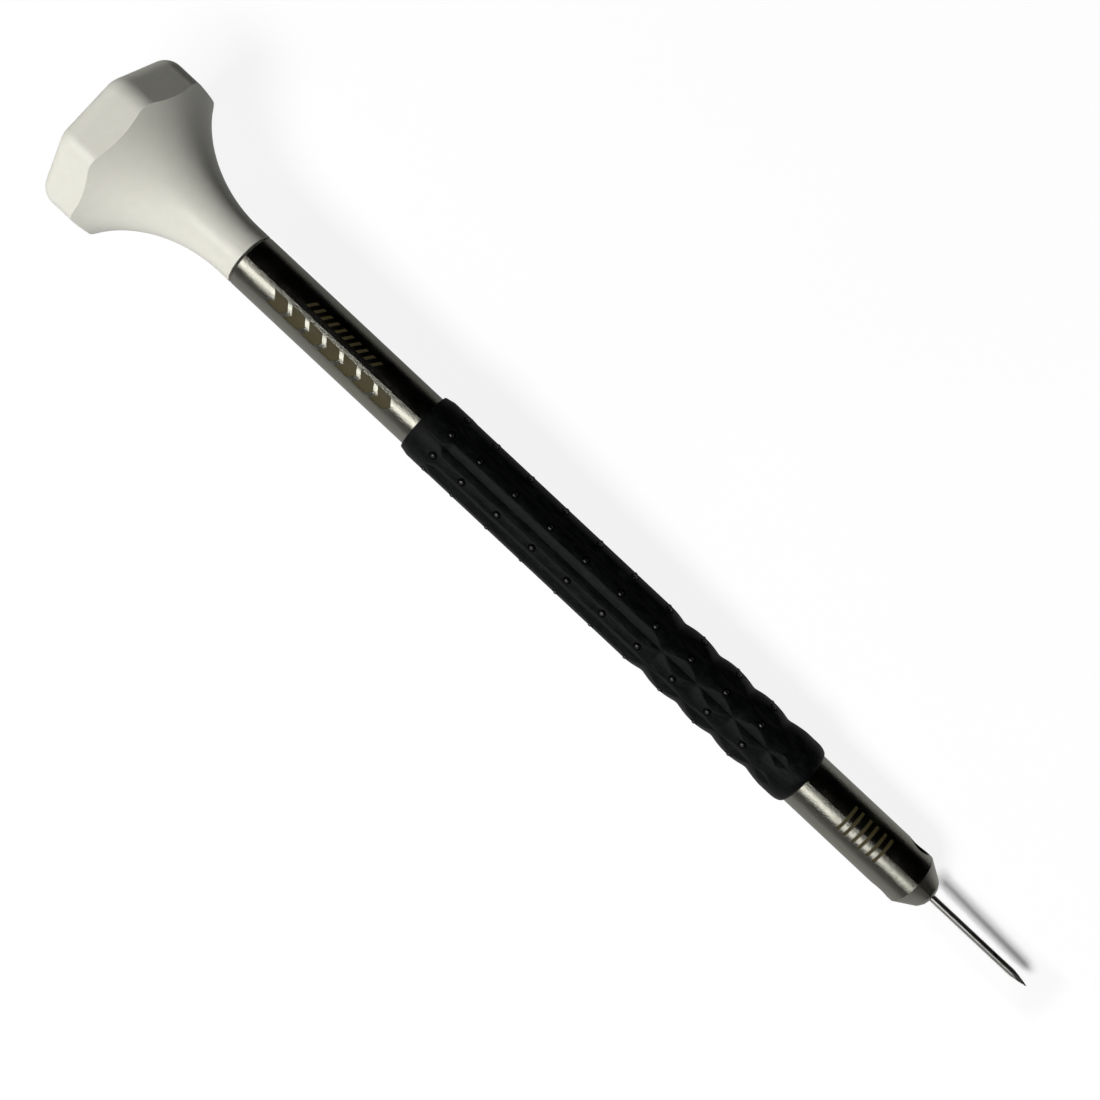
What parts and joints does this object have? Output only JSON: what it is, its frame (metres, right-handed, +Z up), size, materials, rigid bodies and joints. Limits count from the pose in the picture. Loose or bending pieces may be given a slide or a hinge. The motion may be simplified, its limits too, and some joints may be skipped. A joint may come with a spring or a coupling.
{
  "type": "watchmaker screwdriver",
  "caption": "Slim flat-blade precision screwdriver with a steel barrel, rubber grip sleeve, side clamp screws and a flared octagonal head that spins on a ball bearing.",
  "frame": {"origin": "centre of the bounding box's bottom face: the bench under the middle of the tool as it lies down", "axes": "+X along the tool towards the blade tip, +Z up from the bench; the tool's own axis slopes by 3.39 degrees in the XZ plane, because it rests on its nose edge and on one flat of its head"},
  "size_m": [0.1254, 0.0184, 0.0185],
  "materials": {
    "head_plastic": "moulded satin",
    "barrel_steel": "fine turned and polished",
    "grip_rubber": "moulded satin",
    "blade_steel": "ground",
    "screw_steel": "blackened steel",
    "spindle_steel": "ground",
    "bearing_steel": "lapped",
    "shield_steel": "rolled sheet",
    "spring_steel": "phosphated",
    "cage_brass": "stamped",
    "bush_bronze": "sintered bronze",
    "washer_plastic": "matt black"
  },
  "bodies": {
    "handle": {"handle_body": "barrel_steel", "grip_sleeve": "grip_rubber", "head_spindle": "spindle_steel", "thrust_washer": "washer_plastic", "bearing_inner_race": "bearing_steel", "race_washer": "spindle_steel", "race_screw": "spindle_steel"},
    "head": {"head_shell": "head_plastic", "head_cover": "head_plastic", "neck_bush": "bush_bronze", "bearing_outer_race": "bearing_steel", "bearing_shield_lower": "shield_steel", "bearing_shield_upper": "shield_steel", "bearing_circlip": "spring_steel"},
    "ball_train": {"bearing_balls": "bearing_steel", "cage_half_lower": "cage_brass", "cage_half_upper": "cage_brass"},
    "blade": {"blade": "blade_steel"},
    "clamp_left": {"clamp_screw_left": "screw_steel"},
    "clamp_right": {"clamp_screw_right": "screw_steel"}
  },
  "joints": [
    {"name": "head_spin", "type": "hinge", "parent": "handle", "child": "head", "pos_m": [-0.04332, 0, 0.00835], "axis": [0.9983, 0, -0.0591], "continuous": true},
    {"name": "cage_orbit", "type": "hinge", "parent": "handle", "child": "ball_train", "pos_m": [-0.054, 0, 0.00898], "axis": [0.9983, 0, -0.0591], "continuous": true},
    {"name": "blade_pull", "type": "slide", "parent": "handle", "child": "blade", "axis": [0.9983, 0, -0.0591], "range_m": [0, 0.01]},
    {"name": "clamp_left_out", "type": "slide", "parent": "handle", "child": "clamp_left", "axis": [0.0082, 0.9903, 0.1389], "range_m": [0, 0.0004]},
    {"name": "clamp_right_out", "type": "slide", "parent": "handle", "child": "clamp_right", "axis": [-0.0082, -0.9903, -0.1389], "range_m": [0, 0.0004]}
  ],
  "couplings": [
    {"joint": "cage_orbit", "follows": "head_spin", "ratio": 0.63636}
  ]
}
